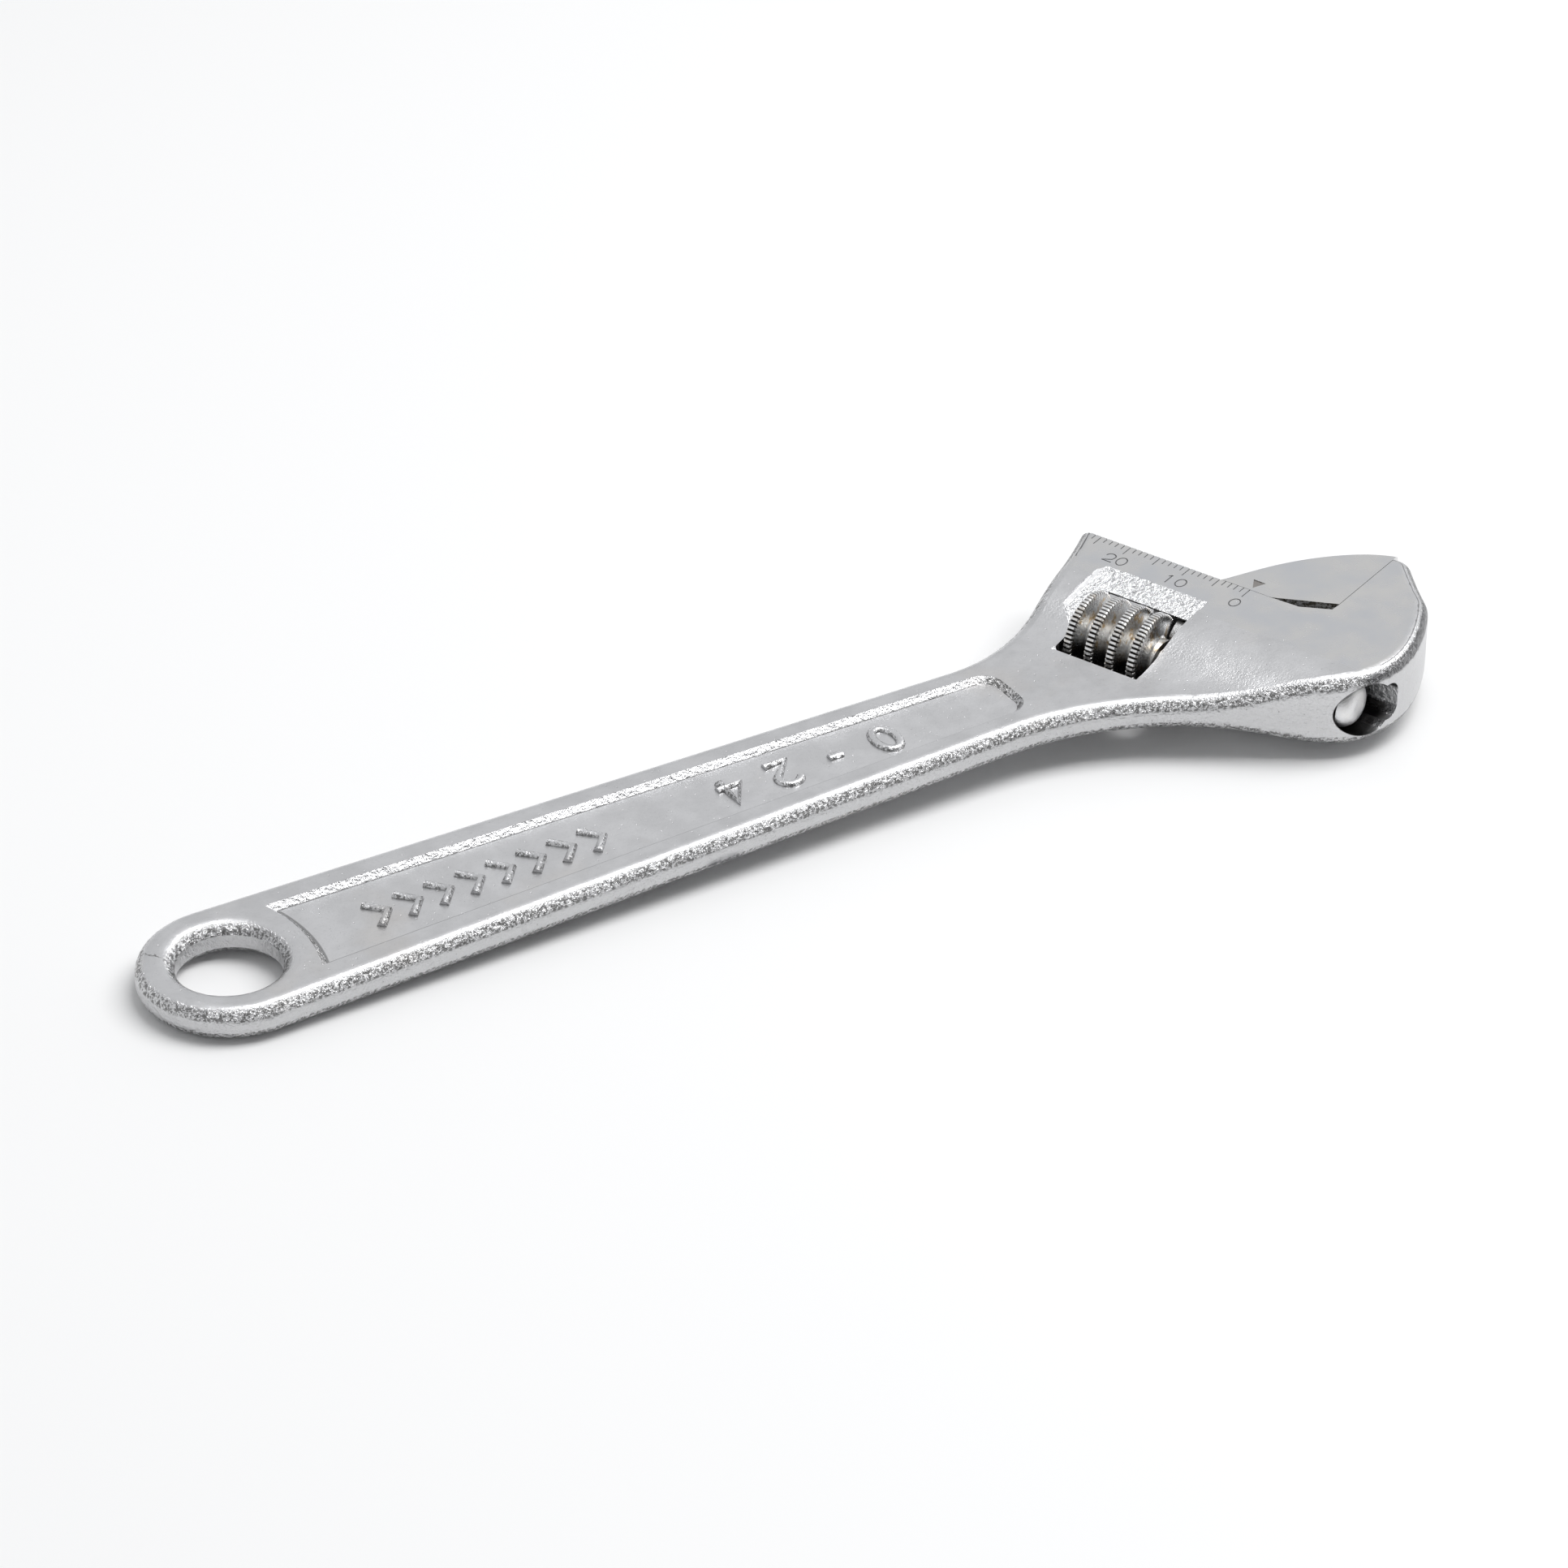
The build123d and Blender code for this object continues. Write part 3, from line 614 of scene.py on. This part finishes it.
def raised_marks(name, marks, settings, centre_x, pitch):
    """Raised marks in the handle's panel, read from the head towards the hang hole."""
    curve = bpy.data.curves.new(name, "CURVE")
    curve.dimensions = "3D"
    curve.bevel_depth = settings.stroke / MM / 2
    curve.bevel_resolution = 2
    curve.use_fill_caps = True
    tall = settings.mark_height / MM
    for place, mark in enumerate(marks):
        middle = (place - (len(marks) - 1) / 2) * pitch
        for points, closed in mark_strokes(mark):
            spline = curve.splines.new("POLY")
            spline.points.add(len(points) - 1)
            for point, (x, y) in zip(spline.points, points):
                point.co = (middle + x * tall, y * tall, 0, 1)
            spline.use_cyclic_u = closed
    source = bpy.data.objects.new(name + "_source", curve)
    bpy.context.scene.collection.objects.link(source)
    bpy.context.view_layer.update()
    mesh = bpy.data.meshes.new_from_object(source)
    bpy.data.objects.remove(source)
    place = Vector((centre_x, MARKS_Y, PANEL_FLOOR - MARKS_SINK)) * MM
    half_turn = Matrix.Rotation(math.pi, 4, "Z")
    mesh.transform(Matrix.Translation(place) @ half_turn @ Matrix.Scale(MM, 4))
    mesh.shade_smooth()
    mesh.set_sharp_from_angle(angle=math.radians(50))
    piece = bpy.data.objects.new(name, mesh)
    bpy.context.scene.collection.objects.link(piece)
    return piece


# --------------------------------------------------------------------------------------------
# Operators


class WrenchSettings(bpy.types.PropertyGroup):
    knurls: IntProperty(
        name="Knurls", description="Knurl notches round the worm", default=66, min=20, max=120
    )
    knurl_depth: FloatProperty(
        name="Knurl depth", description="Depth of a knurl notch", default=0.00034, unit="LENGTH"
    )
    plate: FloatVectorProperty(
        name="Plate",
        description="Colour of the plating",
        default=(0.76, 0.76, 0.77),
        subtype="COLOR",
    )
    ink: FloatVectorProperty(
        name="Ink",
        description="Colour in the engraved scale",
        default=(0.23, 0.23, 0.235),
        subtype="COLOR",
    )
    oil: FloatVectorProperty(
        name="Oil",
        description="Stain down in the worm's thread",
        default=(0.50, 0.33, 0.12),
        subtype="COLOR",
    )
    floor: FloatVectorProperty(
        name="Floor",
        description="Colour of the studio floor",
        default=(0.9, 0.9, 0.9),
        subtype="COLOR",
    )
    handle_numbers: StringProperty(
        name="Handle numbers", description="Jaw range raised on the handle", default="0-24"
    )
    mark_height: FloatProperty(
        name="Mark height", description="Height of the raised marks", default=0.0062, unit="LENGTH"
    )
    stroke: FloatProperty(
        name="Stroke", description="Width of a raised stroke", default=0.0015, unit="LENGTH"
    )


class WRENCH_OT_forgings(bpy.types.Operator):
    """Finish the forged body and the sliding jaw"""

    bl_idname = "wrench.forgings"
    bl_label = "Finish Forgings"

    def execute(self, context):
        settings = context.scene.wrench
        set_material(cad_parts["body"], plated_forging_material(settings))
        set_material(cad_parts["sliding_jaw"], jaw_material(settings))
        return {"FINISHED"}


class WRENCH_OT_worm(bpy.types.Operator):
    """Build the knurled worm in place of the plain one"""

    bl_idname = "wrench.worm"
    bl_label = "Build Worm"

    def execute(self, context):
        settings = context.scene.wrench
        worm = make_worm(settings)
        set_material(worm, worm_material(settings))
        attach(worm, "worm")
        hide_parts("adjusting_worm")
        return {"FINISHED"}


class WRENCH_OT_pin_and_spring(bpy.types.Operator):
    """Finish the worm's pin and spring"""

    bl_idname = "wrench.pin_and_spring"
    bl_label = "Finish Pin and Spring"

    def execute(self, context):
        pin = plain_steel_material("pin_steel", (0.55, 0.55, 0.56))
        spring = plain_steel_material("spring_steel", (0.42, 0.41, 0.40))
        set_material(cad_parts["worm_pin"], pin)
        set_material(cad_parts["worm_spring"], spring)
        return {"FINISHED"}


class WRENCH_OT_handle_marks(bpy.types.Operator):
    """Build the raised marks in the handle's panel"""

    bl_idname = "wrench.handle_marks"
    bl_label = "Build Handle Marks"

    def execute(self, context):
        settings = context.scene.wrench
        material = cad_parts["body"].data.materials[0]
        marks = settings.handle_numbers
        numbers = raised_marks("handle_numbers", marks, settings, NUMBERS_X, NUMBERS_PITCH)
        chevrons = raised_marks("handle_chevrons", CHEVRONS, settings, CHEVRONS_X, CHEVRONS_PITCH)
        for piece in (numbers, chevrons):
            set_material(piece, material)
            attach(piece, "frame")
        return {"FINISHED"}


class WRENCH_OT_stage(bpy.types.Operator):
    """Build the studio floor, the lights and the camera"""

    bl_idname = "wrench.stage"
    bl_label = "Build Stage"

    def execute(self, context):
        settings = context.scene.wrench
        build_floor(settings)
        build_lights()
        build_camera()
        context.scene.view_settings.view_transform = "Standard"
        return {"FINISHED"}


def build_floor(settings):
    """Large sheet that the worm and the end of the handle touch."""
    worm_low = Vector((143.8, 2.4, -7.0)) * MM
    handle_low = Vector((-10.0, 0.0, -2.4)) * MM
    gap = 0.0001
    bm = bmesh.new()
    bmesh.ops.create_grid(bm, x_segments=8, y_segments=8, size=3.0)
    slope = (handle_low.z - worm_low.z) / (handle_low.x - worm_low.x)
    for vert in bm.verts:
        vert.co.z = worm_low.z + slope * (vert.co.x - worm_low.x) - gap
    floor = new_object("studio_floor", bm)
    set_material(floor, floor_material(settings))


def add_light(name, place, target, size, power):
    """Rectangular soft light aimed at a point."""
    light = bpy.data.lights.new(name, "AREA")
    light.shape = "RECTANGLE"
    light.size, light.size_y = size
    light.energy = power
    lamp = bpy.data.objects.new(name, light)
    lamp.location = place
    lamp.rotation_euler = (Vector(target) - Vector(place)).to_track_quat("-Z", "Y").to_euler()
    bpy.context.scene.collection.objects.link(lamp)


def build_lights():
    """One broad soft box overhead, and a surround that is darkest in front."""
    middle = (0.085, 0.0, 0.0)
    add_light("overhead_box", (0.57, -0.11, 0.98), middle, (0.55, 1.0), 10.0)
    build_surround()


def build_surround():
    """Pale far side and ceiling, dark behind the camera."""
    world = bpy.data.worlds.new("studio")
    bpy.context.scene.world = world
    world.use_nodes = True
    tree = world.node_tree
    tree.nodes.clear()
    where = tree.nodes.new("ShaderNodeTexCoord")
    toward = tree.nodes.new("ShaderNodeVectorMath")
    toward.operation = "DOT_PRODUCT"
    toward.inputs[1].default_value = (0.0, -0.93, 0.36)
    fade = tree.nodes.new("ShaderNodeMapRange")
    fade.interpolation_type = "SMOOTHSTEP"
    fade.inputs["From Min"].default_value = 0.5
    fade.inputs["From Max"].default_value = 0.85
    fade.inputs["To Min"].default_value = 0.62
    fade.inputs["To Max"].default_value = 0.10
    background = tree.nodes.new("ShaderNodeBackground")
    background.inputs["Color"].default_value = (0.975, 0.985, 1.0, 1.0)
    output = tree.nodes.new("ShaderNodeOutputWorld")
    tree.links.new(where.outputs["Generated"], toward.inputs[0])
    tree.links.new(toward.outputs["Value"], fade.inputs["Value"])
    tree.links.new(fade.outputs["Result"], background.inputs["Strength"])
    tree.links.new(background.outputs[0], output.inputs[0])


def build_camera():
    """Camera that looks down on the wrench from beside its handle."""
    elevation = math.radians(33.632)
    azimuth = math.radians(-31.921)
    distance = 0.809648
    back = Vector(
        (
            math.sin(azimuth) * math.cos(elevation),
            -math.cos(azimuth) * math.cos(elevation),
            math.sin(elevation),
        )
    )
    target = Vector((0.084853, -0.000521, 0.0))
    data = bpy.data.cameras.new("camera")
    data.sensor_width = 36.0
    data.lens = 136.02
    data.clip_start = 0.01
    camera = bpy.data.objects.new("camera", data)
    camera.location = target + back * distance
    camera.rotation_euler = back.to_track_quat("Z", "Y").to_euler()
    bpy.context.scene.collection.objects.link(camera)
    bpy.context.scene.camera = camera


class WRENCH_PT_panel(bpy.types.Panel):
    """Settings and build steps of the wrench"""

    bl_label = "Adjustable Wrench"
    bl_idname = "WRENCH_PT_panel"
    bl_space_type = "VIEW_3D"
    bl_region_type = "UI"
    bl_category = "Wrench"

    def draw(self, context):
        settings = context.scene.wrench
        for name in WrenchSettings.__annotations__:
            self.layout.prop(settings, name)
        for operator in OPERATORS:
            self.layout.operator(operator.bl_idname)


OPERATORS = (
    WRENCH_OT_stage,
    WRENCH_OT_forgings,
    WRENCH_OT_worm,
    WRENCH_OT_pin_and_spring,
    WRENCH_OT_handle_marks,
)


def register():
    """Adds the settings, the operators and the panel."""
    bpy.utils.register_class(WrenchSettings)
    for operator in OPERATORS:
        bpy.utils.register_class(operator)
    bpy.utils.register_class(WRENCH_PT_panel)
    bpy.types.Scene.wrench = PointerProperty(type=WrenchSettings)


def unregister():
    """Takes away what register added."""
    del bpy.types.Scene.wrench
    bpy.utils.unregister_class(WRENCH_PT_panel)
    for operator in reversed(OPERATORS):
        bpy.utils.unregister_class(operator)
    bpy.utils.unregister_class(WrenchSettings)


def main():
    """Builds everything."""
    register()
    bpy.ops.wrench.stage()
    bpy.ops.wrench.forgings()
    bpy.ops.wrench.worm()
    bpy.ops.wrench.pin_and_spring()
    bpy.ops.wrench.handle_marks()


if __name__ == "__main__":
    main()
